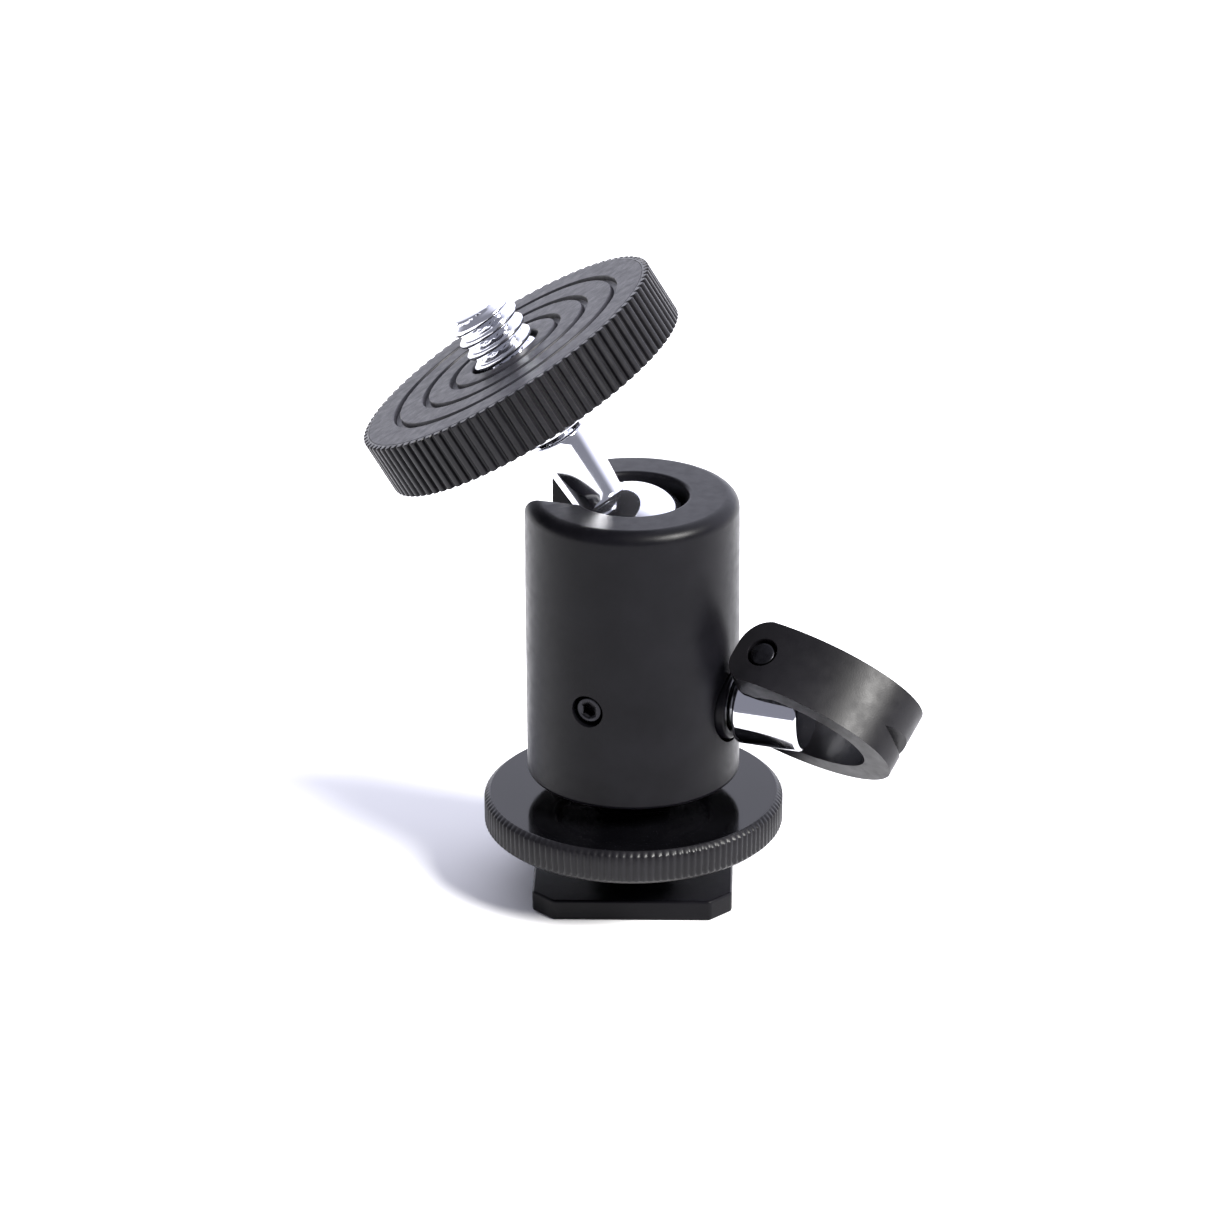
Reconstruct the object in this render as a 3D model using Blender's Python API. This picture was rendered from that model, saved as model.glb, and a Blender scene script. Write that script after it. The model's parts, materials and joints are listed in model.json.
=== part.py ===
"""Mini ball head on an accessory-shoe foot: a clamp ring on a threaded column, a drop-notch housing,
a ball with a tilting camera platform, and a side lock screw with a folding loop handle.

Frame: metres, +Z up. The origin is the centre of the foot's underside, on the housing's axis, and X
runs along the foot's front edge. The handle points to +X, and the platform leans to -X."""
import math

import bmesh
import bpy
from mathutils import Matrix, Vector

MM = 0.001
GAP = 0.3 * MM                     # running gap between neighbouring pieces

# Accessory-shoe foot and its clamp
FOOT_WIDTH = 18.6 * MM
FOOT_CORNER = 2.0 * MM
FOOT_THICKNESS = 2.0 * MM
FOOT_FLOOR = 0.7 * MM
STUD_RADIUS = 3.0 * MM
STUD_TOP = 15.6 * MM
COLUMN_RADIUS = 4.0 * MM
COLUMN_TOP = 11.2 * MM
WASHER_RADIUS = 5.65 * MM
WASHER_THICKNESS = 1.3 * MM
RING_RADIUS = 14.0 * MM
RING_BOTTOM = 5.9 * MM
RING_THICKNESS = 3.3 * MM

# Housing
BODY_RADIUS = 9.9 * MM
BODY_BOTTOM = 11.57 * MM
BODY_TOP = 39.05 * MM
RIM_ROUND = 1.3 * MM
MOUTH_RADIUS = 5.2 * MM
BORE_RADIUS = 6.6 * MM
PLUG_RADIUS = 7.0 * MM
PLUG_TOP = 16.4 * MM
NOTCH_AZIMUTH = math.radians(163.5)
NOTCH_WIDTH = 8.0 * MM
SET_SCREW_AZIMUTH = math.radians(-113.8)
SET_SCREW_HEIGHT = 21.2 * MM
SET_SCREW_RADIUS = 1.25 * MM
SET_SCREW_END = 9.5 * MM            # its socket's end, from the housing's axis
BUSH_RADIUS = 3.3 * MM
BUSH_SPAN = (6.9 * MM, 10.1 * MM)   # from the housing's axis outwards
WALL_SPAN = (5.0 * MM, 12.0 * MM)   # a cutter's reach through the housing's wall

# Ball, stem and platform, measured along the stem from the ball's centre
BALL_HEIGHT = 33.65 * MM
BALL_RADIUS = 6.2 * MM
STEM_TILT = math.radians(31.5)
STEM_AZIMUTH = math.radians(174.5)
STEM_ROOT_RADIUS = 2.4 * MM
STEM_HEAD_RADIUS = 2.72 * MM
TENON_RADIUS = 2.0 * MM
TENON_END = 18.3 * MM
COLLAR_RADIUS = 3.35 * MM
COLLAR_START = 13.1 * MM
DISC_RADIUS = 15.25 * MM
DISC_START = 16.76 * MM
PAD_TOP = 22.15 * MM
PAD_THICKNESS = 0.9 * MM
TRAY_EDGE_GAP = 0.2 * MM            # round the pad's edge and under it
PAD_RADIUS = 14.6 * MM
PAD_HOLE_RADIUS = 3.5 * MM
PAD_GROOVES = (5.6 * MM, 8.5 * MM, 11.6 * MM)
GROOVE_WIDTH = 0.9 * MM
GROOVE_DEPTH = 0.3 * MM
CAMERA_SCREW_RADIUS = 3.1 * MM
CAMERA_SCREW_TIP = 27.1 * MM
CAMERA_SCREW_FLANGE = 5.0 * MM
DISC_RECESS = 5.3 * MM
DISC_FLOOR = 18.7 * MM              # the recess's floor, under the screw's flange

# Seat, piston and lock screw; the lock screw is measured outwards from the housing's axis
SEAT_RADIUS = 6.3 * MM
SEAT_BOTTOM = 25.6 * MM
SEAT_TOP = 31.0 * MM
PISTON_BOTTOM = 20.25 * MM
PISTON_TOP = 24.2 * MM
LOCK_AZIMUTH = math.radians(-18.5)
LOCK_HEIGHT = 19.4 * MM
LOCK_SHANK_RADIUS = 2.2 * MM
BARREL_RADIUS = 3.5 * MM
BARREL_START = 10.7 * MM
BARREL_END = 17.1 * MM
CONE_RADIUS = 2.4 * MM
CONE_SHOULDER = 2.6 * MM
CONE_TIP = -0.4 * MM
CONE_END = 4.4 * MM

# Folding loop handle, in the frame of its hinge pin
LUG_TURN = math.radians(51.0)      # the pin's slope, about the lock screw's axis
HANDLE_DROOP = math.radians(14.0)
LUG_OFFSET = 2.3 * MM              # the pin's axis above the lock screw's axis
LUG_RADIUS = 2.8 * MM
LUG_HALF_WIDTH = 3.5 * MM
PIN_REACH = 13.5 * MM
PIN_RADIUS = 1.15 * MM
PIN_HALF_LENGTH = 6.7 * MM
LOOP_CENTRE = 2.5 * MM
LOOP_HALF_LENGTH = 11.2 * MM
LOOP_HALF_BREADTH = 7.1 * MM
LOOP_BAND = 6.45 * MM
LOOP_ARM_WALL = 2.1 * MM
LOOP_TIP_WALL = 2.7 * MM
LOOP_SLOT = 3.85 * MM              # half the slot between the arms
LOOP_END = 2.85 * MM               # the arms' ends, behind the pin
LOOP_CORNERS = (2.85 * MM, 2.3 * MM)   # their rounding, on the upper and lower edge
GRIP_GROOVE_AT = -0.7 * MM
GRIP_GROOVE_HALF = 1.0 * MM
GRIP_GROOVE_DEPTH = 1.1 * MM

FINE, COARSE, SMALL = 48, 32, 24   # sides of a turned piece


def clear_scene():
    for old in list(bpy.data.objects):
        bpy.data.objects.remove(old, do_unlink=True)


def material(name, colour, roughness, metallic=0.0):
    made = bpy.data.materials.new(name)
    made.use_nodes = True
    shader = made.node_tree.nodes["Principled BSDF"]
    shader.inputs["Base Color"].default_value = (*colour, 1.0)
    shader.inputs["Roughness"].default_value = roughness
    shader.inputs["Metallic"].default_value = metallic
    return made


def frame_at(name, matrix, parent=None):
    """An empty on a joint's axis."""
    empty = bpy.data.objects.new(name, None)
    bpy.context.collection.objects.link(empty)
    empty.parent = parent
    empty.matrix_local = matrix
    return empty


def solid(name, shape, finish, parent=None, matrix=None):
    """Turns a bmesh into an object under a joint's empty."""
    bmesh.ops.recalc_face_normals(shape, faces=shape.faces)
    mesh = bpy.data.meshes.new(name)
    shape.to_mesh(mesh)
    shape.free()
    mesh.shade_smooth()
    mesh.set_sharp_from_angle(angle=math.radians(30.0))
    made = bpy.data.objects.new(name, mesh)
    bpy.context.collection.objects.link(made)
    made.parent = parent
    if matrix is not None:
        made.matrix_local = matrix
    if finish is not None:
        mesh.materials.append(finish)
    return made


def turned(outline, steps=COARSE):
    """Spins a closed (radius, height) outline about Z; an outline may lie along the axis."""
    shape = bmesh.new()
    points = [shape.verts.new((radius, 0.0, height)) for radius, height in outline]
    edges = []
    for start, end in zip(points, points[1:] + points[:1]):
        if max(start.co.x, end.co.x) > 0.0:
            edges.append(shape.edges.new((start, end)))
    bmesh.ops.spin(shape, geom=points + edges, cent=(0, 0, 0), axis=(0, 0, 1),
                   angle=2.0 * math.pi, steps=steps, use_merge=True)
    bmesh.ops.remove_doubles(shape, verts=shape.verts, dist=0.0005 * MM)
    bmesh.ops.dissolve_degenerate(shape, edges=shape.edges, dist=0.0001 * MM)
    return shape


def prism(outline, low, high):
    """Extrudes a closed XY outline from one height to another."""
    shape = bmesh.new()
    face = shape.faces.new([shape.verts.new((x, y, low)) for x, y in outline])
    grown = bmesh.ops.extrude_face_region(shape, geom=[face])["geom"]
    lifted = [item for item in grown if isinstance(item, bmesh.types.BMVert)]
    bmesh.ops.translate(shape, verts=lifted, vec=(0, 0, high - low))
    return shape


def arc(centre, radius, start, end, count):
    """Points on an arc, both ends included; the angles are in degrees."""
    turns = [math.radians(start + (end - start) * step / count) for step in range(count + 1)]
    return [(centre[0] + radius * math.cos(t), centre[1] + radius * math.sin(t)) for t in turns]


def rod(radius, low, high, chamfer=0.0):
    """The outline of a plain pin with chamfered ends."""
    if not chamfer:
        return [(0, low), (radius, low), (radius, high), (0, high)]
    return [(0, low), (radius - chamfer, low), (radius, low + chamfer),
            (radius, high - chamfer), (radius - chamfer, high), (0, high)]


def sleeve(inner, outer, low, high, chamfer=0.0):
    """The outline of a ring with chamfered outer edges."""
    if not chamfer:
        return [(inner, low), (outer, low), (outer, high), (inner, high)]
    return [(inner, low), (outer - chamfer, low), (outer, low + chamfer),
            (outer, high - chamfer), (outer - chamfer, high), (inner, high)]


def combine(target, cutter, operation="DIFFERENCE"):
    """Adds an exact Boolean; the cutter is a guide that isn't built."""
    cutter.hide_render = True
    cutter.display_type = "WIRE"
    change = target.modifiers.new(cutter.name, "BOOLEAN")
    change.operation = operation
    change.solver = "EXACT"
    change.object = cutter


def radial(azimuth, height=0.0):
    """A frame whose Z points outwards from the housing's axis and whose X points up."""
    outwards = Vector((math.cos(azimuth), math.sin(azimuth), 0.0))
    upwards = Vector((0.0, 0.0, 1.0))
    turn = Matrix((upwards, outwards.cross(upwards), outwards)).transposed().to_4x4()
    return Matrix.Translation((0, 0, height)) @ turn


def ball_frame():
    """At the ball's centre, with Z along the stem."""
    along = Vector((math.sin(STEM_TILT) * math.cos(STEM_AZIMUTH),
                    math.sin(STEM_TILT) * math.sin(STEM_AZIMUTH), math.cos(STEM_TILT)))
    across = Vector((0, 0, 1)).cross(along).normalized()
    turn = Matrix((across.cross(along), -across, along)).transposed().to_4x4()
    return Matrix.Translation((0, 0, BALL_HEIGHT)) @ turn


def lock_frame():
    """On the lock screw's axis: Z outwards, Y along the hinge pin, X towards the lug."""
    outwards = Vector((math.cos(LOCK_AZIMUTH), math.sin(LOCK_AZIMUTH), 0.0))
    forwards = Vector((outwards.y, -outwards.x, 0.0))
    pin = math.cos(LUG_TURN) * forwards + math.sin(LUG_TURN) * Vector((0, 0, 1))
    turn = Matrix((pin.cross(outwards), pin, outwards)).transposed().to_4x4()
    return Matrix.Translation((0, 0, LOCK_HEIGHT)) @ turn


def handle_frame():
    """At the hinge pin, inside the lock frame: X to the loop's tip, Y across its band, Z the pin."""
    sine, cosine = math.sin(HANDLE_DROOP), math.cos(HANDLE_DROOP)
    turn = Matrix(((-sine, 0, cosine), (cosine, 0, sine), (0, 1, 0))).transposed().to_4x4()
    return Matrix.Translation((LUG_OFFSET, 0, PIN_REACH)) @ turn


def make_foot(black):
    half, cut = FOOT_WIDTH / 2, FOOT_WIDTH / 2 - FOOT_CORNER
    outline = [(cut, -half), (half, -cut), (half, cut), (cut, half),
               (-cut, half), (-half, cut), (-half, -cut), (-cut, -half)]
    foot = solid("shoe_foot", prism(outline, 0.0, FOOT_THICKNESS), black)
    hole = turned(rod(STUD_RADIUS + GAP, FOOT_FLOOR, FOOT_THICKNESS + GAP))
    combine(foot, solid("foot_hole", hole, None))


def make_column(black, black_steel):
    column = sleeve(STUD_RADIUS + GAP, COLUMN_RADIUS, FOOT_THICKNESS + GAP, COLUMN_TOP, 0.2 * MM)
    solid("shoe_column", turned(column), black)
    solid("mount_stud", turned(rod(STUD_RADIUS, FOOT_FLOOR + GAP, STUD_TOP, 0.5 * MM)),
          black_steel)


def make_clamp(black, gloss):
    axis = frame_at("ring_axis", Matrix.Identity(4))
    inner = COLUMN_RADIUS + GAP
    top = RING_BOTTOM - GAP
    solid("clamp_washer", turned(sleeve(inner, WASHER_RADIUS, top - WASHER_THICKNESS, top)), black, axis)
    ring = sleeve(inner, RING_RADIUS, RING_BOTTOM, RING_BOTTOM + RING_THICKNESS, 0.35 * MM)
    solid("lock_ring", turned(ring, FINE), gloss, axis)


def housing_outline():
    rim = BODY_TOP - RIM_ROUND
    seat = BALL_RADIUS + 0.15 * MM
    mouth_angle = math.degrees(math.acos(MOUTH_RADIUS / seat))
    outline = [(PLUG_RADIUS + GAP, BODY_BOTTOM), (BODY_RADIUS - 0.4 * MM, BODY_BOTTOM),
               (BODY_RADIUS, BODY_BOTTOM + 0.4 * MM)]
    outline += arc((BODY_RADIUS - RIM_ROUND, rim), RIM_ROUND, 0, 90, 5)
    outline += [(MOUTH_RADIUS + 0.3 * MM, BODY_TOP), (MOUTH_RADIUS, BODY_TOP - 0.3 * MM)]
    outline += arc((0, BALL_HEIGHT), seat, mouth_angle, 0, 5)
    outline += [(BORE_RADIUS, BALL_HEIGHT - 0.4 * MM), (BORE_RADIUS, PLUG_TOP + GAP),
                (PLUG_RADIUS + GAP, PLUG_TOP + GAP)]
    return outline


def make_housing(black, black_steel):
    axis = frame_at("housing_axis", Matrix.Identity(4))
    shell = solid("body_shell", turned(housing_outline(), FINE), black, axis)
    half = NOTCH_WIDTH / 2
    height = BODY_TOP + MM - BALL_HEIGHT
    outline = [(height, -half), (height, half)] + arc((0, 0), half, 90, 270, 10)
    notch = solid("notch_cutter", prism(outline, 3.0 * MM, 12.0 * MM), None, axis,
                  radial(NOTCH_AZIMUTH, BALL_HEIGHT))
    combine(shell, notch)
    bush_hole = turned(rod(BUSH_RADIUS + GAP, *WALL_SPAN))
    lock = radial(LOCK_AZIMUTH, LOCK_HEIGHT)
    combine(shell, solid("bush_hole", bush_hole, None, axis, lock))
    screw_hole = turned(rod(SET_SCREW_RADIUS + GAP, *WALL_SPAN), SMALL)
    screw_frame = radial(SET_SCREW_AZIMUTH, SET_SCREW_HEIGHT)
    combine(shell, solid("set_screw_hole", screw_hole, None, axis, screw_frame))

    plug = sleeve(STUD_RADIUS + GAP, PLUG_RADIUS, BODY_BOTTOM + 0.2 * MM, PLUG_TOP, 0.3 * MM)
    solid("base_plug", turned(plug), black_steel, axis)
    bush = sleeve(LOCK_SHANK_RADIUS + GAP, BUSH_RADIUS, *BUSH_SPAN, 0.2 * MM)
    solid("lock_bush", turned(bush), black, axis, lock)
    socket, socket_floor, tip = 0.65 * MM, SET_SCREW_END - MM, 5.3 * MM
    screw = [(0, tip), (0.8 * MM, tip), (SET_SCREW_RADIUS, tip + 0.5 * MM),
             (SET_SCREW_RADIUS, SET_SCREW_END), (socket, SET_SCREW_END), (socket, socket_floor),
             (0, socket_floor)]
    solid("set_screw", turned(screw, SMALL), black_steel, axis, screw_frame)


def make_seat(nylon, rubber):
    axis = frame_at("seat_axis", Matrix.Translation((0, 0, BALL_HEIGHT)))
    cup, hole = BALL_RADIUS + 0.2 * MM, 1.6 * MM
    bottom, top = SEAT_BOTTOM - BALL_HEIGHT, SEAT_TOP - BALL_HEIGHT
    rim = math.degrees(math.asin(top / cup))
    floor = -math.degrees(math.acos(hole / cup))
    outline = [(hole, bottom), (SEAT_RADIUS, bottom), (SEAT_RADIUS, top)]
    outline += arc((0, 0), cup, rim, floor, 7)
    solid("lower_seat", turned(outline), nylon, axis)
    washer = sleeve(2.0 * MM, 5.6 * MM, PISTON_TOP + GAP, SEAT_BOTTOM - GAP)
    solid("seat_washer", turned(washer), rubber)


def make_piston(steel):
    """The piston rides on the cone: its underside steps up along the lock screw's axis."""
    piston = solid("push_piston", turned(rod(SEAT_RADIUS, PISTON_BOTTOM, PISTON_TOP)), steel)
    low, high = PISTON_BOTTOM - MM, LOCK_HEIGHT + CONE_RADIUS + 0.4 * MM
    reach = 8.0 * MM
    start = CONE_TIP - 0.3 * MM
    ramp = (high - PISTON_BOTTOM) / (CONE_SHOULDER - start)
    lead = start - (PISTON_BOTTOM - low) / ramp
    outline = [(low, lead), (low, reach), (high, reach), (high, CONE_SHOULDER)]
    wedge = solid("ramp_cutter", prism(outline, -reach, reach), None, None,
                  radial(LOCK_AZIMUTH) @ Matrix(((1, 0, 0, 0), (0, 0, -1, 0), (0, 1, 0, 0), (0, 0, 0, 1))))
    combine(piston, wedge)
    half = SET_SCREW_RADIUS + GAP
    slot = [(0, -half), (BODY_TOP, -half), (BODY_TOP, half), (0, half)]
    slot_floor = 4.9 * MM
    groove = solid("key_slot", prism(slot, slot_floor, reach), None, None, radial(SET_SCREW_AZIMUTH))
    combine(piston, groove)


def make_lock(chrome, steel, black_steel, black):
    axis = frame_at("lock_axis", lock_frame())
    cone = [(0, CONE_TIP), (0.5 * MM, CONE_TIP), (CONE_RADIUS, CONE_SHOULDER),
            (CONE_RADIUS, CONE_END), (0, CONE_END)]
    solid("cone_pin", turned(cone), steel, axis)

    start, lead, edge = CONE_END + GAP, 0.3 * MM, 0.4 * MM
    screw = [(0, start), (LOCK_SHANK_RADIUS - lead, start), (LOCK_SHANK_RADIUS, start + lead),
             (LOCK_SHANK_RADIUS, BARREL_START), (BARREL_RADIUS - edge, BARREL_START)]
    screw += arc((BARREL_RADIUS - edge, BARREL_START + edge), edge, -60, 0, 2)
    screw += arc((BARREL_RADIUS - edge, BARREL_END - edge), edge, 0, 90, 3)
    screw += [(0, BARREL_END)]
    barrel = solid("lock_screw", turned(screw), chrome, axis)
    across = Matrix.Translation((LUG_OFFSET, 0, PIN_REACH)) @ Matrix.Rotation(-math.pi / 2, 4, "X")
    lug = turned(rod(LUG_RADIUS, -LUG_HALF_WIDTH, LUG_HALF_WIDTH, 0.3 * MM))
    combine(barrel, solid("lug", lug, None, axis, across), "UNION")
    hole = turned(rod(PIN_RADIUS + GAP, -PIN_HALF_LENGTH, PIN_HALF_LENGTH), SMALL)
    combine(barrel, solid("lug_hole", hole, None, axis, across))
    pin = turned(rod(PIN_RADIUS, -PIN_HALF_LENGTH, PIN_HALF_LENGTH, 0.2 * MM), SMALL)
    solid("hinge_pin", pin, black_steel, axis, across)
    make_handle(black, axis)


def loop_outline():
    """The loop seen along its band: the outer oval, then the inner oval and the arms' slot."""
    back = -LOOP_END - 0.5 * MM
    slot_end = LOOP_CENTRE - 2.2 * MM

    def oval(half_length, half_breadth, first, last, count):
        turns = [first + (last - first) * step / count for step in range(count + 1)]
        return [(LOOP_CENTRE + half_length * math.cos(t), half_breadth * math.sin(t)) for t in turns]

    outer = math.acos((back - LOOP_CENTRE) / LOOP_HALF_LENGTH)
    length, breadth = LOOP_HALF_LENGTH - LOOP_TIP_WALL, LOOP_HALF_BREADTH - LOOP_ARM_WALL
    inner = math.pi / 2
    points = oval(LOOP_HALF_LENGTH, LOOP_HALF_BREADTH, -outer, outer, 36)
    points += [(back, LOOP_SLOT), (slot_end, LOOP_SLOT)]
    points += oval(length, breadth, inner, -inner, 22)
    points += [(slot_end, -LOOP_SLOT), (back, -LOOP_SLOT)]
    return points


def make_handle(black, lock_axis):
    axis = frame_at("handle_axis", handle_frame(), lock_axis)
    half = LOOP_BAND / 2
    upright = Matrix.Rotation(math.pi / 2, 4, "X")
    handle = solid("loop_handle", prism(loop_outline(), -half, half), black, axis, upright)
    tip = LOOP_CENTRE + LOOP_HALF_LENGTH
    breadth, edge = LOOP_HALF_BREADTH + MM, half + 0.05 * MM
    upper, lower = LOOP_CORNERS
    trim = arc((upper - LOOP_END, edge - upper), upper, 90, 180, 5)
    trim += arc((lower - LOOP_END, lower - edge), lower, 180, 270, 5)
    trim += [(tip + MM, -edge), (tip + MM, edge)]
    combine(handle, solid("end_trimmer", prism(trim, -breadth, breadth), None, axis), "INTERSECT")
    vee = [(tip + GAP, GRIP_GROOVE_AT - GRIP_GROOVE_HALF), (tip + GAP, GRIP_GROOVE_AT + GRIP_GROOVE_HALF),
           (tip - GRIP_GROOVE_DEPTH, GRIP_GROOVE_AT)]
    combine(handle, solid("grip_groove", prism(vee, -breadth, breadth), None, axis))
    hole = turned(rod(PIN_RADIUS + GAP, -breadth, breadth), SMALL)
    combine(handle, solid("pin_hole", hole, None, axis))


def make_ball(chrome):
    axis = frame_at("ball_axis", ball_frame())
    neck = -90 + math.degrees(math.pi - math.asin(STEM_ROOT_RADIUS / BALL_RADIUS))
    outline = arc((0, 0), BALL_RADIUS, -90, neck, 16)
    outline[0] = (0, -BALL_RADIUS)
    root, shoulder = BALL_RADIUS + 0.2 * MM, COLLAR_START - 0.2 * MM
    outline += [(STEM_ROOT_RADIUS, root), (STEM_HEAD_RADIUS, shoulder - 0.7 * MM),
                (STEM_HEAD_RADIUS, shoulder), (TENON_RADIUS, shoulder), (TENON_RADIUS, TENON_END),
                (0, TENON_END)]
    solid("ball_stem", turned(outline), chrome, axis)
    return axis


def make_platform(axis, chrome, black, rubber):
    collar = sleeve(TENON_RADIUS + GAP, COLLAR_RADIUS, COLLAR_START, DISC_START - 0.2 * MM, 0.4 * MM)
    solid("stem_collar", turned(collar), chrome, axis)
    tray, lip = PAD_TOP - PAD_THICKNESS, PAD_TOP - 0.1 * MM
    edge, rebate = 0.2 * MM, PAD_RADIUS + TRAY_EDGE_GAP
    disc = [(TENON_RADIUS + GAP, DISC_START), (DISC_RADIUS - edge, DISC_START),
            (DISC_RADIUS, DISC_START + edge), (DISC_RADIUS, lip - edge), (DISC_RADIUS - edge, lip),
            (rebate, lip), (rebate, tray - TRAY_EDGE_GAP), (DISC_RECESS, tray - TRAY_EDGE_GAP),
            (DISC_RECESS, DISC_FLOOR), (TENON_RADIUS + GAP, DISC_FLOOR)]
    solid("platform_disc", turned(disc, FINE), black, axis)
    pad = [(PAD_HOLE_RADIUS, tray), (PAD_RADIUS, tray), (PAD_RADIUS, PAD_TOP)]
    half = GROOVE_WIDTH / 2
    for radius in reversed(PAD_GROOVES):
        pad += [(radius + half, PAD_TOP), (radius + half * 0.6, PAD_TOP - GROOVE_DEPTH),
                (radius - half * 0.6, PAD_TOP - GROOVE_DEPTH), (radius - half, PAD_TOP)]
    pad += [(PAD_HOLE_RADIUS, PAD_TOP)]
    solid("platform_pad", turned(pad, FINE), rubber, axis)
    base, lead = DISC_FLOOR + 0.2 * MM, 0.7 * MM
    seat = base + 1.4 * MM
    screw = [(0, base), (CAMERA_SCREW_FLANGE, base), (CAMERA_SCREW_FLANGE, seat),
             (CAMERA_SCREW_RADIUS, seat),
             (CAMERA_SCREW_RADIUS, CAMERA_SCREW_TIP - lead),
             (CAMERA_SCREW_RADIUS - lead, CAMERA_SCREW_TIP), (0, CAMERA_SCREW_TIP)]
    solid("camera_screw", turned(screw), chrome, axis)


def main():
    clear_scene()
    black = material("satin_black", (0.022, 0.021, 0.026), 0.42, 0.6)
    gloss = material("gloss_black", (0.012, 0.012, 0.014), 0.15, 0.4)
    chrome = material("chrome", (0.85, 0.86, 0.88), 0.08, 1.0)
    steel = material("steel", (0.45, 0.45, 0.46), 0.35, 1.0)
    black_steel = material("black_steel", (0.05, 0.05, 0.055), 0.35, 1.0)
    nylon = material("nylon", (0.7, 0.7, 0.66), 0.5)
    rubber = material("rubber", (0.045, 0.043, 0.05), 0.7)
    make_foot(black)
    make_column(black, black_steel)
    make_clamp(black, gloss)
    make_housing(black, black_steel)
    make_seat(nylon, rubber)
    make_piston(steel)
    make_lock(chrome, steel, black_steel, black)
    make_platform(make_ball(chrome), chrome, black, rubber)


main()
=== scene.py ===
"""Looks for the mini ball head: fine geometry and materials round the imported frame."""
import json
import math

import bmesh
import bpy
from mathutils import Matrix, Vector


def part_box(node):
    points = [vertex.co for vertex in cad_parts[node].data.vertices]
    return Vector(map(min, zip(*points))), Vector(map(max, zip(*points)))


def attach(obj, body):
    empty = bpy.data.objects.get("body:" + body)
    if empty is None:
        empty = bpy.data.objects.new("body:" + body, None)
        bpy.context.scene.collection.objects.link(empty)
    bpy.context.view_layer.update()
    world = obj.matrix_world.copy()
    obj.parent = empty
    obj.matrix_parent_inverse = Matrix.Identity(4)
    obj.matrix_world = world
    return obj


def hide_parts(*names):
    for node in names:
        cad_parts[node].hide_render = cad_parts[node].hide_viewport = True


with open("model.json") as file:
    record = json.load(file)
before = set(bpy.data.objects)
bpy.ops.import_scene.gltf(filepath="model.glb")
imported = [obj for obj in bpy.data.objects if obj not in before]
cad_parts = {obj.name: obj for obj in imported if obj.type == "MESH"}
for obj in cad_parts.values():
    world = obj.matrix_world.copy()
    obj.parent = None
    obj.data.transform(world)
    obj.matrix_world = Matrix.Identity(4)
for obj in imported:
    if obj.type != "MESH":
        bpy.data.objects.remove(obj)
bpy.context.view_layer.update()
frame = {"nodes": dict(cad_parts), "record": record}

MM = 0.001
UP = Vector((0, 0, 1))
RECORD = frame["record"]
JOINTS = {joint["name"]: joint for joint in RECORD["behaviour"]["joints"]}


# ---------------------------------------------------------------- the frame
def size(node):
    """A node's lowest and highest corners at rest."""
    low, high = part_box(node)
    return Vector(low), Vector(high)


def turned_size(node, place):
    """A turned node's lowest and highest points along a frame's Z, and its greatest radius."""
    into = place.inverted() @ frame["nodes"][node].matrix_world
    points = [into @ vertex.co for vertex in frame["nodes"][node].data.vertices]
    heights = [point.z for point in points]
    return min(heights), max(heights), max(math.hypot(point.x, point.y) for point in points)


def frame_from(origin, along, towards):
    """A frame whose Z lies along one direction and whose X points towards another."""
    z = Vector(along).normalized()
    x = (Vector(towards) - z * Vector(towards).dot(z)).normalized()
    turn = Matrix((x, z.cross(x), z)).transposed().to_4x4()
    return Matrix.Translation(Vector(origin)) @ turn


BALL = frame_from(JOINTS["platform_spin"]["pos_m"], JOINTS["platform_spin"]["axis"], (1, 0, 0))
LOCK_OUT = Vector(JOINTS["lock_turn"]["axis"])
PIN_AXIS = Vector(JOINTS["loop_fold"]["axis"])
LOCK = frame_from(JOINTS["lock_turn"]["pos_m"], LOCK_OUT, PIN_AXIS.cross(LOCK_OUT))
PIN_PLACE = Vector(JOINTS["loop_fold"]["pos_m"])
PIN_IN_LOCK = LOCK.inverted() @ PIN_PLACE
HANDLE_DROOP = math.radians(14.0)
LOOP_TO_TIP = math.cos(HANDLE_DROOP) * LOCK_OUT - math.sin(HANDLE_DROOP) * PIN_AXIS.cross(LOCK_OUT)
HANDLE = frame_from(PIN_PLACE, PIN_AXIS, LOOP_TO_TIP)
NOTCH_OUT = Vector(JOINTS["ball_tilt"]["axis"]).cross(UP)
SET_SCREW_AZIMUTH = math.radians(-113.8)
SET_SCREW_OUT = Vector((math.cos(SET_SCREW_AZIMUTH), math.sin(SET_SCREW_AZIMUTH), 0))
SET_SCREW = frame_from((0, 0, 21.2 * MM), SET_SCREW_OUT, UP)
WALL = (5.0 * MM, 12.0 * MM)            # a drill's reach through the housing's wall
PIN_HOLE_RADIUS = 1.45 * MM
DISC_FLOOR = 18.7 * MM                  # under the camera screw's flange, along the stem


# ---------------------------------------------------------------- mesh tools
def rounded(outline, steps=4):
    """Rounds an outline's corners: each point is (x, y) or (x, y, radius)."""
    result = []
    count = len(outline)
    for index, corner in enumerate(outline):
        here = Vector(corner[:2])
        if len(corner) < 3:
            result.append(tuple(here))
            continue
        before = (Vector(outline[index - 1][:2]) - here).normalized()
        after = (Vector(outline[(index + 1) % count][:2]) - here).normalized()
        half = before.angle(after) / 2
        radius = corner[2]
        centre = here + (before + after).normalized() * (radius / math.sin(half))
        start = here + before * (radius / math.tan(half)) - centre
        end = here + after * (radius / math.tan(half)) - centre
        sweep = start.angle_signed(end)
        for step in range(steps + 1):
            turn = Matrix.Rotation(-sweep * step / steps, 2)
            result.append(tuple(centre + turn @ start))
    return result


def arc(centre, radius, start, end, count):
    """Points on an arc, both ends included; the angles are in degrees."""
    turns = [math.radians(start + (end - start) * step / count) for step in range(count + 1)]
    return [(centre[0] + radius * math.cos(t), centre[1] + radius * math.sin(t)) for t in turns]


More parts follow.
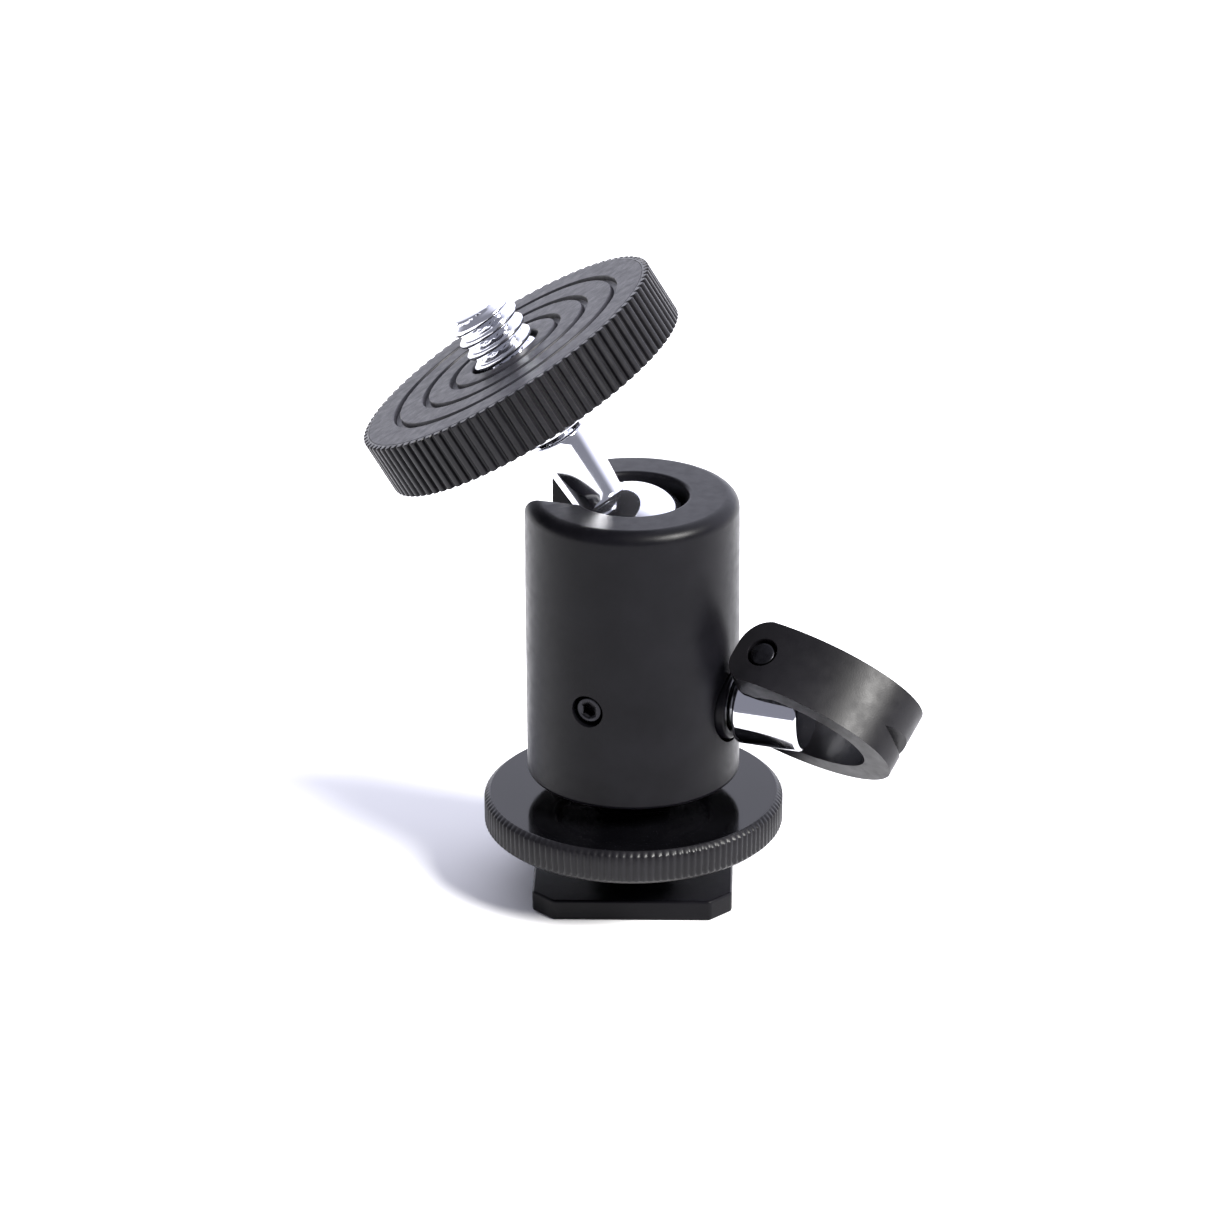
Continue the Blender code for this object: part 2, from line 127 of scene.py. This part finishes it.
def lathe(outline, steps, ripple=None):
    """Turns a closed (radius, height) outline about Z; ripple(angle, row) is added to a radius."""
    on_axis = 0.0001 * MM
    verts, rows, faces = [], [], []
    for row, (radius, height) in enumerate(outline):
        if radius < on_axis:
            rows.append([len(verts)] * steps)
            verts.append((0.0, 0.0, height))
            continue
        rows.append(list(range(len(verts), len(verts) + steps)))
        for step in range(steps):
            angle = 2.0 * math.pi * step / steps
            reach = radius + (ripple(angle, row) if ripple else 0.0)
            verts.append((reach * math.cos(angle), reach * math.sin(angle), height))
    for row, lower in enumerate(rows):
        upper = rows[(row + 1) % len(rows)]
        for step in range(steps):
            after = (step + 1) % steps
            face = list(dict.fromkeys((lower[step], lower[after], upper[after], upper[step])))
            if len(face) > 2:
                faces.append(face)
    return verts, faces


def prism(outline, low, high):
    """Extrudes a closed XY outline from one height to another."""
    count = len(outline)
    verts = [(x, y, low) for x, y in outline] + [(x, y, high) for x, y in outline]
    faces = [list(range(count))[::-1], list(range(count, 2 * count))]
    faces += [[i, (i + 1) % count, (i + 1) % count + count, i + count] for i in range(count)]
    return verts, faces


def build(name, shape, place=None, sharp=35.0):
    """Makes an object from vertices and faces, moved from the given frame to the row's."""
    mesh = bpy.data.meshes.new(name)
    mesh.from_pydata(shape[0], [], shape[1])
    work = bmesh.new()
    work.from_mesh(mesh)
    if place is not None:
        work.transform(place)
    bmesh.ops.remove_doubles(work, verts=work.verts, dist=1e-8)
    bmesh.ops.recalc_face_normals(work, faces=work.faces)
    work.to_mesh(mesh)
    work.free()
    mesh.shade_smooth()
    mesh.set_sharp_from_angle(angle=math.radians(sharp))
    made = bpy.data.objects.new(name, mesh)
    bpy.context.collection.objects.link(made)
    return made


def carve(target, cutters, operation="DIFFERENCE"):
    """Applies exact Booleans and removes their cutters."""
    for cutter in cutters:
        change = target.modifiers.new(cutter.name, "BOOLEAN")
        change.operation = operation
        change.solver = "EXACT"
        change.object = cutter
        settle(target)
        bpy.data.objects.remove(cutter, do_unlink=True)


def soften(target, width, steps=3, angle=35.0):
    """Rounds a piece's sharp edges."""
    bevel = target.modifiers.new("edge_round", "BEVEL")
    bevel.width = width
    bevel.segments = steps
    bevel.limit_method = "ANGLE"
    bevel.angle_limit = math.radians(angle)
    bevel.miter_outer = "MITER_ARC"
    settle(target)
    smooth(target, angle)


def smooth(target, sharp):
    """Shades a piece smooth, except across edges sharper than an angle in degrees."""
    target.data.shade_smooth()
    target.data.set_sharp_from_angle(angle=math.radians(sharp))


def settle(target):
    """Applies a piece's modifiers to its mesh."""
    depsgraph = bpy.context.evaluated_depsgraph_get()
    mesh = bpy.data.meshes.new_from_object(target.evaluated_get(depsgraph))
    target.modifiers.clear()
    old = target.data
    target.data = mesh
    bpy.data.meshes.remove(old)


def finish_piece(made, material, body, node):
    """Gives a piece its material and its body, and hides the CAD node that it stands for."""
    if not made.data.materials:
        made.data.materials.append(material)
    shade = made.modifiers.new("flat_faces_stay_flat", "WEIGHTED_NORMAL")
    shade.keep_sharp = True
    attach(made, body)
    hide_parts(node)
    return made


# ---------------------------------------------------------------- materials
class Nodes:
    """A short way to build a Principled material's node tree."""

    def __init__(self, name, colour, roughness, metallic=0.0, **sockets):
        self.material = bpy.data.materials.new(name)
        self.material.use_nodes = True
        self.tree = self.material.node_tree
        self.shader = self.tree.nodes["Principled BSDF"]
        self.colour, self.roughness = colour, roughness
        self.shader.inputs["Base Color"].default_value = (*colour, 1)
        self.shader.inputs["Roughness"].default_value = roughness
        self.shader.inputs["Metallic"].default_value = metallic
        for socket, value in sockets.items():
            self.shader.inputs[socket.replace("_", " ")].default_value = value
        self.place = self.tree.nodes.new("ShaderNodeTexCoord").outputs["Object"]

    def noise(self, scale, detail=3.0, stretch=None):
        """A noise's value; scale is per metre, and stretch scales the axes first."""
        texture = self.tree.nodes.new("ShaderNodeTexNoise")
        texture.inputs["Scale"].default_value = scale
        texture.inputs["Detail"].default_value = detail
        place = self.place
        if stretch:
            mapping = self.tree.nodes.new("ShaderNodeMapping")
            mapping.inputs["Scale"].default_value = stretch
            self.tree.links.new(place, mapping.inputs["Vector"])
            place = mapping.outputs["Vector"]
        self.tree.links.new(place, texture.inputs["Vector"])
        return texture.outputs["Fac"]

    def spread(self, value, low, high, start=0.3, end=0.7):
        """Maps a value from one range to another."""
        node = self.tree.nodes.new("ShaderNodeMapRange")
        node.inputs["From Min"].default_value = start
        node.inputs["From Max"].default_value = end
        node.inputs["To Min"].default_value = low
        node.inputs["To Max"].default_value = high
        self.tree.links.new(value, node.inputs["Value"])
        return node.outputs["Result"]

    def mix(self, value, first, second):
        """Mixes two colours by a value."""
        node = self.tree.nodes.new("ShaderNodeMix")
        node.data_type = "RGBA"
        node.inputs["A"].default_value = (*first, 1)
        node.inputs["B"].default_value = (*second, 1)
        self.tree.links.new(value, node.inputs["Factor"])
        return node.outputs["Result"]

    def link(self, value, socket):
        self.tree.links.new(value, self.shader.inputs[socket])

    def bump(self, *layers):
        """Stacks bumps; each layer is (value, strength, depth in metres)."""
        normal = None
        for value, strength, depth in layers:
            node = self.tree.nodes.new("ShaderNodeBump")
            node.inputs["Strength"].default_value = strength
            node.inputs["Distance"].default_value = depth
            self.tree.links.new(value, node.inputs["Height"])
            if normal is not None:
                self.tree.links.new(normal, node.inputs["Normal"])
            normal = node.outputs["Normal"]
        self.link(normal, "Normal")


def anodised(name, colour, roughness, specular, grain=0.25, spread=0.05):
    """Bead-blasted, anodised aluminium: a fine grain with cloudy tone and gloss."""
    made = Nodes(name, colour, roughness, Specular_IOR_Level=specular)
    cloud = made.noise(240.0)
    pale = tuple(channel * 1.6 + 0.0006 for channel in colour)
    made.link(made.mix(made.spread(cloud, 0.0, 1.0), colour, pale), "Base Color")
    made.link(made.spread(made.noise(900.0), roughness - spread, roughness + spread), "Roughness")
    made.bump((made.noise(9000.0, 2.0), grain, 0.02 * MM))
    return made.material


def plated(name, colour, roughness):
    """Bright plate: a slight haze and a very faint waviness."""
    made = Nodes(name, colour, roughness, 1.0)
    haze = made.spread(made.noise(420.0), roughness * 0.6, roughness * 1.7)
    made.link(haze, "Roughness")
    made.bump((made.noise(700.0, 2.0), 0.05, 0.05 * MM))
    return made.material


def machined(name, colour, roughness):
    """Plain turned metal with a dull film."""
    made = Nodes(name, colour, roughness, 1.0)
    dark = tuple(channel * 0.6 for channel in colour)
    made.link(made.mix(made.spread(made.noise(500.0), 0.0, 1.0), dark, colour), "Base Color")
    made.link(made.spread(made.noise(1500.0), roughness - 0.08, roughness + 0.1), "Roughness")
    made.bump((made.noise(4000.0, 2.0), 0.15, 0.02 * MM))
    return made.material


def moulded(name, colour, roughness, specular, grain):
    """Rubber or nylon: a fine moulded grain with dusty patches."""
    made = Nodes(name, colour, roughness, Specular_IOR_Level=specular)
    dusty = tuple(channel * 1.25 + 0.001 for channel in colour)
    made.link(made.mix(made.spread(made.noise(350.0, 4.0), 0.0, 1.0), colour, dusty), "Base Color")
    made.link(made.spread(made.noise(1200.0), roughness - 0.06, roughness + 0.06), "Roughness")
    made.bump((made.noise(grain, 3.0), 0.35, 0.04 * MM))
    return made.material


SATIN = anodised("satin_black", (0.0022, 0.0021, 0.0030), 0.34, 0.11)
HANDLE_BLACK = anodised("handle_black", (0.0034, 0.0032, 0.0040), 0.40, 0.20, 0.4)
RIM_BLACK = anodised("knurl_black", (0.0040, 0.0038, 0.0048), 0.36, 0.20)
GLOSS = anodised("gloss_black", (0.0012, 0.0012, 0.0016), 0.10, 0.13, 0.04, 0.02)
CHROME = plated("bright_chrome", (0.80, 0.81, 0.86), 0.07)
STEEL = machined("turned_steel", (0.30, 0.30, 0.32), 0.34)
BLACK_STEEL = machined("black_steel", (0.030, 0.030, 0.034), 0.30)
NYLON = moulded("nylon", (0.35, 0.35, 0.32), 0.5, 0.3, 3000.0)
RUBBER = moulded("pad_rubber", (0.0120, 0.0115, 0.0150), 0.46, 0.22, 5200.0)


# ---------------------------------------------------------------- foot and clamp
def make_foot():
    low, high = size("shoe_foot")
    half, cut = high.x, high.x - 2.0 * MM
    outline = [(cut, -half), (half, -cut), (half, cut), (cut, half),
               (-cut, half), (-half, cut), (-half, -cut), (-cut, -half)]
    foot = build("shoe_foot_fine", prism(outline, low.z, high.z))
    carve(foot, [drill(3.3 * MM, 0.7 * MM, 3.0 * MM, Matrix.Identity(4))])
    soften(foot, 0.25 * MM)
    finish_piece(foot, SATIN, "shoe", "shoe_foot")


def thread(radius, depth, pitch, low, high, lead=0.5 * MM, steps=72, core=0.0):
    """A rod or sleeve with a real helical thread; its crest fades at both ends."""
    rows_per_turn, flank, root = 12, 1.35, 1.1
    rows = int((high - low) / pitch * rows_per_turn)
    outline = [(core, low)] + [(radius, low + (high - low) * row / rows) for row in range(rows + 1)]
    outline += [(core, high)]

    def ripple(angle, row):
        if not 0 < row < len(outline) - 1:
            return 0.0
        height = outline[row][1]
        phase = ((height - low) / pitch - angle / (2.0 * math.pi)) % 1.0
        tooth = min(1.0, abs(2.0 * phase - 1.0) * flank)
        chamfer = max(0.0, 1.0 - min(height - low, high - height) / lead)
        return -max(depth * (1.0 - tooth), depth * root * chamfer)

    return lathe(outline, steps, ripple)


def make_column():
    low, high = size("shoe_column")
    depth, pitch = 0.45 * MM, 1.0 * MM
    column = build("column_thread", thread(high.x, depth, pitch, low.z, high.z, core=3.3 * MM))
    finish_piece(column, SATIN, "shoe", "shoe_column")
    low, high = size("clamp_washer")
    bore, edge = 4.3 * MM, 0.15 * MM
    outline = rounded([(bore, low.z, edge), (high.x, low.z, edge), (high.x, high.z, edge),
                       (bore, high.z, edge)])
    washer = build("clamp_washer_fine", lathe(outline, 96))
    finish_piece(washer, SATIN, "washer", "clamp_washer")


def knurl(count, depth, samples, rows, sharpness=1.0):
    """A ripple of rounded ribs, as deep on each outline row as rows says."""
    def ripple(angle, row):
        phase = (angle * count / (2.0 * math.pi) + 0.5 / samples) % 1.0
        rib = math.sin(math.pi * phase) ** sharpness
        return -depth * (1.0 - rib) * rows.get(row, 0.0)
    return ripple


def square_knurl(count, depth, samples, rows):
    """A ripple of flat-topped ribs between narrow, steep grooves."""
    crest, flank = 0.45, 0.3

    def ripple(angle, row):
        phase = (angle * count / (2.0 * math.pi) + 0.5 / samples) % 1.0
        from_crest = abs(2.0 * phase - 1.0)
        fall = min(1.0, max(0.0, (from_crest - crest) / flank))
        return -depth * fall * rows.get(row, 0.0)
    return ripple


def make_ring():
    low, high = size("lock_ring")
    bore, chamfer = 4.3 * MM, 0.35 * MM
    outer = high.x
    outline = [(bore, low.z + 0.2 * MM), (bore + 0.2 * MM, low.z), (outer - 0.9 * MM, low.z),
               (outer - 0.5 * MM, low.z + 0.04 * MM), (outer - 0.12 * MM, low.z + chamfer),
               (outer, low.z + chamfer + 0.15 * MM), (outer, high.z - chamfer - 0.15 * MM),
               (outer - 0.12 * MM, high.z - chamfer), (outer - 0.5 * MM, high.z - 0.04 * MM),
               (outer - 0.62 * MM, high.z), (bore + 0.2 * MM, high.z), (bore, high.z - 0.2 * MM)]
    teeth, samples = 130, 6
    ripple = knurl(teeth, 0.24 * MM, samples, {4: 0.8, 5: 1.0, 6: 1.0, 7: 0.8}, 0.6)
    ring = build("lock_ring_fine", lathe(outline, teeth * samples, ripple), sharp=60.0)
    ring.data.materials.append(GLOSS)
    ring.data.materials.append(RIM_BLACK)
    gloss_edge = outer - 0.6 * MM
    for face in ring.data.polygons:
        face.material_index = int(math.hypot(face.center.x, face.center.y) > gloss_edge)
    finish_piece(ring, GLOSS, "ring", "lock_ring")


# ---------------------------------------------------------------- housing
def make_housing():
    low, high = size("body_shell")
    radius, mouth, bore, plug = high.x, 5.2 * MM, 6.6 * MM, 7.3 * MM
    centre, seat, plug_top = BALL.translation.z, 6.35 * MM, 16.7 * MM
    start = math.degrees(math.acos(mouth / seat))
    socket_top = centre + seat * math.sin(math.radians(start)) + 0.01 * MM
    outline = rounded([(plug, low.z, 0.2 * MM), (radius, low.z, 0.45 * MM),
                       (radius, high.z, 1.3 * MM), (mouth, high.z, 0.4 * MM),
                       (mouth, socket_top)], steps=8)[:-1]
    outline += arc((0, centre), seat, start, 0, 12)
    outline += [(bore, centre - 0.4 * MM), (bore, plug_top), (plug, plug_top)]
    shell = build("body_shell_fine", lathe(outline, 160))
    half = 4.0 * MM
    notch_frame = frame_from((0, 0, centre), NOTCH_OUT, UP)
    reach = high.z + MM - centre
    notch = [(reach, -half), (reach, half)] + arc((0, 0), half, 90, 270, 28)
    carve(shell, [build("notch", prism(notch, 3.0 * MM, WALL[1]), notch_frame),
                  drill(3.6 * MM, *WALL, LOCK), drill(1.55 * MM, *WALL, SET_SCREW)])
    soften(shell, 0.22 * MM, 3, 38.0)
    finish_piece(shell, SATIN, "housing", "body_shell")
    make_bush_and_set_screw()


def make_bush_and_set_screw():
    bore, radius, inner, outer, edge = 2.5 * MM, 3.3 * MM, 6.9 * MM, 10.1 * MM, 0.25 * MM
    outline = rounded([(bore, inner), (radius, inner), (radius, outer, edge), (bore, outer, edge)])
    bush = build("lock_bush_fine", lathe(outline, 72), LOCK)
    finish_piece(bush, SATIN, "housing", "lock_bush")

    radius, inner, outer = 1.25 * MM, 5.3 * MM, 9.5 * MM
    outline = rounded([(0, inner), (0.8 * MM, inner), (radius, inner + 0.5 * MM),
                       (radius, outer, 0.2 * MM), (0, outer)])
    screw = build("set_screw_fine", lathe(outline, 48), SET_SCREW)
    hexagon = arc((0, 0), 0.72 * MM, 0, 300, 5)
    carve(screw, [build("socket", prism(hexagon, 8.4 * MM, 10.5 * MM), SET_SCREW)])
    finish_piece(screw, BLACK_STEEL, "housing", "set_screw")


def drill(radius, low, high, place):
    return build("drill", lathe([(0, low), (radius, low), (radius, high), (0, high)], 64), place)


# ---------------------------------------------------------------- ball, stem and platform
def make_ball():
    radius, root, head, tenon = 6.2 * MM, 2.4 * MM, 2.72 * MM, 2.0 * MM
    shoulder, top = 12.9 * MM, 18.3 * MM
    neck = math.degrees(math.acos((root + 0.35 * MM) / radius))
    outline = [(0, -radius)] + arc((0, 0), radius, -84, neck, 40)
    join = radius * math.sin(math.radians(neck))
    outline += arc((root + 0.6 * MM, join + 0.55 * MM), 0.62 * MM, 240, 182, 5)
    outline += rounded([(root + 0.02 * MM, 6.6 * MM), (head, shoulder - 0.8 * MM),
                        (head, shoulder, 0.15 * MM), (tenon, shoulder), (tenon, top), (0, top)])
    ball = build("ball_stem_fine", lathe(outline, 128), BALL)
    finish_piece(ball, CHROME, "ball", "ball_stem")


def make_platform():
    tenon = 2.3 * MM
    start, _, disc_radius = turned_size("platform_disc", BALL)
    tray, pad_top, pad_radius = turned_size("platform_pad", BALL)
    low, high, radius = turned_size("stem_collar", BALL)
    outline = rounded([(tenon, low, 0.1 * MM), (radius - 0.4 * MM, low, 0.1 * MM),
                       (radius, low + 0.5 * MM, 0.2 * MM), (radius, high, 0.1 * MM), (tenon, high)])
    collar = build("stem_collar_fine", lathe(outline, 96), BALL)
    finish_piece(collar, CHROME, "platform", "stem_collar")

    rebate, recess, bed = pad_radius + 0.04 * MM, 5.3 * MM, tray - 0.2 * MM
    step, fall, ledge, lip = 0.1 * MM, 0.02 * MM, disc_radius - 0.5 * MM, pad_top - 0.02 * MM
    outline = [(tenon, start), (ledge, start), (disc_radius - step, start + fall),
               (disc_radius, start + step), (disc_radius, lip - step),
               (disc_radius - step, lip - fall), (ledge, lip), (rebate, lip), (rebate, bed),
               (recess, bed), (recess, DISC_FLOOR), (tenon, DISC_FLOOR)]
    ribs, samples = 92, 10
    ripple = square_knurl(ribs, 0.38 * MM, samples, {2: 1.0, 3: 1.0, 4: 1.0, 5: 1.0})
    disc = build("platform_disc_fine", lathe(outline, ribs * samples, ripple), BALL, sharp=35.0)
    finish_piece(disc, RIM_BLACK, "platform", "platform_disc")

    hole = 3.5 * MM
    outline = [(hole, tray), (pad_radius, tray), (pad_radius, pad_top, 0.04 * MM)]
    half, taper, bottom = 0.36 * MM, 0.7, pad_top - 0.5 * MM
    crest_round, root_round = 0.1 * MM, 0.06 * MM
    for radius in (11.6 * MM, 8.5 * MM, 5.6 * MM):
        outline += [(radius + half, pad_top, crest_round),
                    (radius + half * taper, bottom, root_round),
                    (radius - half * taper, bottom, root_round),
                    (radius - half, pad_top, crest_round)]
    outline += [(hole, pad_top, 0.15 * MM)]
    pad = build("platform_pad_fine", lathe(rounded(outline, 3), 160), BALL)
    finish_piece(pad, RUBBER, "platform", "platform_pad")


def make_camera_screw():
    """A quarter-inch screw, 20 threads to the inch, on a flange under the pad."""
    base, tip, _ = turned_size("camera_screw", BALL)
    flange, core, seat = 5.0 * MM, 2.4 * MM, base + 1.4 * MM
    outline = [(0, base), (flange, base), (flange, seat), (core, seat), (core, seat + 0.2 * MM),
               (0, seat + 0.2 * MM)]
    radius, depth, pitch, start = 3.12 * MM, 0.62 * MM, 1.27 * MM, seat - 0.1 * MM
    shape = thread(radius, depth, pitch, start, tip, 0.7 * MM, 96)
    screw = build("camera_screw_fine", shape, BALL, sharp=50.0)
    carve(screw, [build("flange", lathe(outline, 96), BALL)], "UNION")
    smooth(screw, 50.0)
    finish_piece(screw, CHROME, "platform", "camera_screw")


# ---------------------------------------------------------------- lock screw and handle
def make_lock():
    _, end, _ = turned_size("lock_screw", LOCK)
    shank, barrel, inner, start, edge = 2.2 * MM, 3.5 * MM, 4.7 * MM, 10.7 * MM, 0.45 * MM
    outline = rounded([(0, inner), (shank, inner, 0.3 * MM), (shank, start), (barrel, start, edge),
                       (barrel, end, edge), (0, end)], 6)
    screw = build("lock_screw_fine", lathe(outline, 96), LOCK)
    across = frame_from(PIN_PLACE, PIN_AXIS, LOCK_OUT)
    half, radius, edge, reach = 3.5 * MM, 2.8 * MM, 0.35 * MM, 6.7 * MM
    lug = rounded([(0, -half), (radius, -half, edge), (radius, half, edge), (0, half)], 6)
    carve(screw, [build("lug", lathe(lug, 72), across)], "UNION")
    carve(screw, [drill(PIN_HOLE_RADIUS, -reach, reach, across)])
    smooth(screw, 35.0)
    finish_piece(screw, CHROME, "screw", "lock_screw")

    radius, edge = 1.15 * MM, 0.22 * MM
    outline = rounded([(0, -reach), (radius, -reach, edge), (radius, reach, edge), (0, reach)])
    pin = build("hinge_pin_fine", lathe(outline, 48), across)
    finish_piece(pin, BLACK_STEEL, "screw", "hinge_pin")


def loop_outline(centre, half_length, half_breadth, back):
    """The loop seen along its band: the outer oval, then the arms' slot and the inner oval."""
    slot, slot_end, slot_round = 3.85 * MM, centre - 2.2 * MM, 0.8 * MM
    tip_wall, arm_wall = 2.7 * MM, 2.1 * MM

    def oval(length, breadth, first, last, count):
        turns = [first + (last - first) * step / count for step in range(count + 1)]
        return [(centre + length * math.cos(t), breadth * math.sin(t)) for t in turns]

    outer = math.acos((back - centre) / half_length)
    inner = oval(half_length - tip_wall, half_breadth - arm_wall, math.pi / 2, -math.pi / 2, 48)
    outline = oval(half_length, half_breadth, -outer, outer, 72)
    return outline + rounded([(back, slot), (slot_end, slot, slot_round)] + inner +
                             [(slot_end, -slot, slot_round), (back, -slot)])


def make_handle():
    centre, half_length, half_breadth = 2.5 * MM, 11.2 * MM, 7.1 * MM
    half_band, end = 3.225 * MM, -2.85 * MM
    upper_corner, lower_corner = 2.85 * MM, 2.3 * MM
    outline = loop_outline(centre, half_length, half_breadth, end - 0.5 * MM)
    upright = HANDLE @ Matrix.Rotation(math.pi / 2, 4, "X")
    handle = build("loop_handle_fine", prism(outline, -half_band, half_band), upright)
    tip = centre + half_length
    breadth, edge, past_tip = half_breadth + MM, half_band + 0.05 * MM, tip + MM
    trim = rounded([(end, edge, upper_corner), (end, -edge, lower_corner), (past_tip, -edge),
                    (past_tip, edge)], 14)
    carve(handle, [build("trim", prism(trim, -breadth, breadth), HANDLE)], "INTERSECT")
    groove, wide, deep, mouth = -0.7 * MM, 1.0 * MM, 1.15 * MM, tip + 0.4 * MM
    vee = [(mouth, groove - wide), (mouth, groove + wide), (tip - deep, groove)]
    carve(handle, [build("vee", prism(vee, -breadth, breadth), HANDLE),
                   drill(PIN_HOLE_RADIUS, -breadth, breadth, HANDLE)])
    soften(handle, 0.35 * MM, 3, 32.0)
    finish_piece(handle, HANDLE_BLACK, "handle", "loop_handle")


def paint_hidden():
    """The pieces inside keep their CAD shapes."""
    finishes = {"mount_stud": BLACK_STEEL, "base_plug": BLACK_STEEL, "lower_seat": NYLON,
                "seat_washer": RUBBER, "push_piston": STEEL, "cone_pin": STEEL}
    for node, material in finishes.items():
        slots = frame["nodes"][node].data.materials
        slots.clear()
        slots.append(material)


# ---------------------------------------------------------------- stage
def make_stage():
    make_floor()
    make_sky()
    make_key()


def make_floor():
    reach = 30
    corners = [(-reach, -reach, 0), (reach, -reach, 0), (reach, reach, 0), (-reach, reach, 0)]
    floor = build("floor", (corners, [[0, 1, 2, 3]]))
    paint = Nodes("floor_white", (0.86, 0.86, 0.87), 0.9, Specular_IOR_Level=0.1)
    floor.data.materials.append(paint.material)


def make_sky():
    """A pale wall behind and to the right, and a darker room elsewhere."""
    world = bpy.data.worlds.new("studio")
    world.use_nodes = True
    bpy.context.scene.world = world
    bpy.context.scene.view_settings.view_transform = "Standard"
    nodes, links = world.node_tree.nodes, world.node_tree.links
    sky = nodes["Background"]
    sky.inputs["Color"].default_value = (0.85, 0.86, 1.0, 1)
    facing = nodes.new("ShaderNodeVectorMath")
    facing.operation = "DOT_PRODUCT"
    facing.inputs[1].default_value = Vector((0.34, 0.86, 0.36)).normalized()
    glow = nodes.new("ShaderNodeMapRange")
    glow.interpolation_type = "SMOOTHSTEP"
    ends = {"From Min": 0.05, "From Max": 0.85, "To Min": 0.32, "To Max": 2.3}
    for socket, value in ends.items():
        glow.inputs[socket].default_value = value
    links.new(nodes.new("ShaderNodeTexCoord").outputs["Generated"], facing.inputs[0])
    links.new(facing.outputs["Value"], glow.inputs["Value"])
    links.new(glow.outputs["Result"], sky.inputs["Strength"])


def make_key():
    """One soft key light, high and to the front right."""
    key = bpy.data.lights.new("key", "SUN")
    key.energy = 9.0
    key.angle = math.radians(24.0)
    key.color = (1.0, 0.985, 0.96)
    lamp = bpy.data.objects.new("key", key)
    towards_key = Vector((0.62, -0.40, 0.68))
    lamp.rotation_euler = towards_key.to_track_quat("Z", "Y").to_euler()
    bpy.context.collection.objects.link(lamp)


def make_camera():
    """A long lens, a little over half a metre away and 26 degrees above the foot."""
    away, height = 0.4657, 0.2312
    azimuth, pitch, pan, roll = 1.5, 23.60, -0.29, -0.43
    lens = bpy.data.cameras.new("camera")
    lens.sensor_width = 36.0
    lens.lens = 163.1
    lens.clip_start = 0.01
    lens.clip_end = 100.0
    eye = bpy.data.objects.new("camera", lens)
    bpy.context.collection.objects.link(eye)
    turn = Matrix.Rotation(math.radians(azimuth), 4, "Z")
    eye.matrix_world = turn @ Matrix.Translation((0, -away, height)) @ \
        Matrix.Rotation(math.radians(-pan), 4, "Z") @ \
        Matrix.Rotation(math.radians(90.0 - pitch), 4, "X") @ \
        Matrix.Rotation(math.radians(roll), 4, "Z")
    bpy.context.scene.camera = eye


make_camera()
make_stage()
make_foot()
make_column()
make_ring()
make_housing()
make_ball()
make_platform()
make_camera_screw()
make_lock()
make_handle()
paint_hidden()
